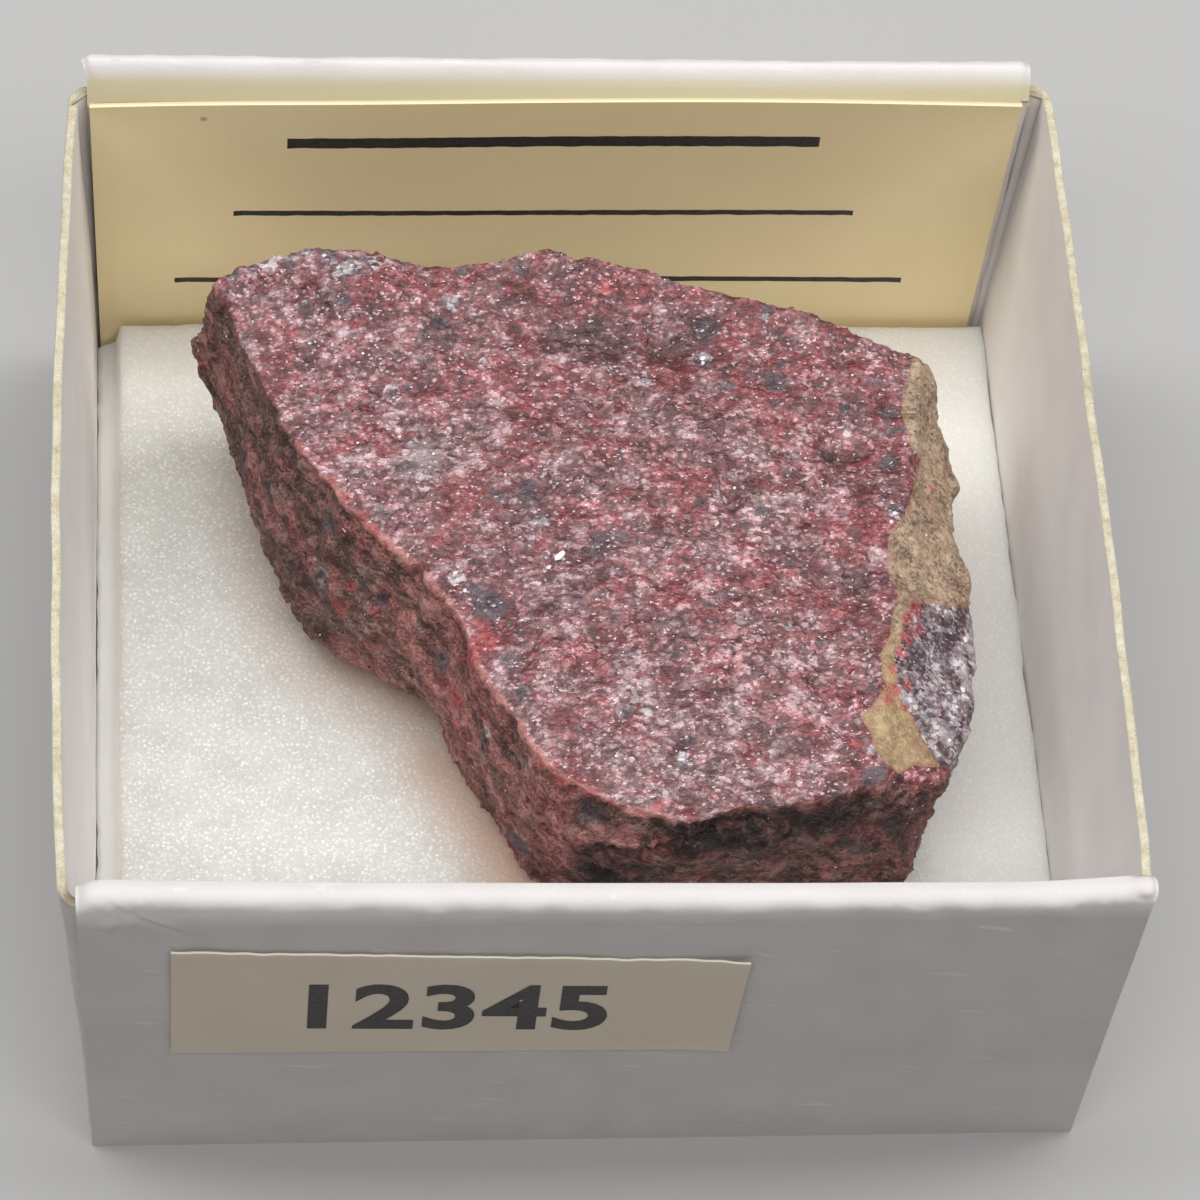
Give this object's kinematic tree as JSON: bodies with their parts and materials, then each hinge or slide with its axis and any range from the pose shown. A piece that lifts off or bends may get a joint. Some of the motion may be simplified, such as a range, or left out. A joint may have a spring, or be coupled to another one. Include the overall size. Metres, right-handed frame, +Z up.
{
  "type": "cinnabar on matrix",
  "caption": "Hand specimen of granular cinnabar on its matrix, lying on white foam in a small folded card tray with a label card and a number sticker.",
  "frame": {"origin": "centre of the bounding box's bottom face, in the plane the tray stands on", "axes": "+Z up, +Y towards the back wall with the label card, +X to the right seen from the front wall with the number sticker"},
  "size_m": [0.042, 0.041, 0.0204],
  "materials": {
    "tray_card": "satin",
    "white_foam": "matt closed-cell foam",
    "label_paper": "matt",
    "sticker_paper": "matt",
    "cinnabar_matrix": "rough, with bright crystal facets"
  },
  "bodies": {
    "root": {"tray": "tray_card", "foam_pad": "white_foam", "label_card": "label_paper", "number_sticker": "sticker_paper", "cinnabar_rock": "cinnabar_matrix"}
  },
  "joints": []
}
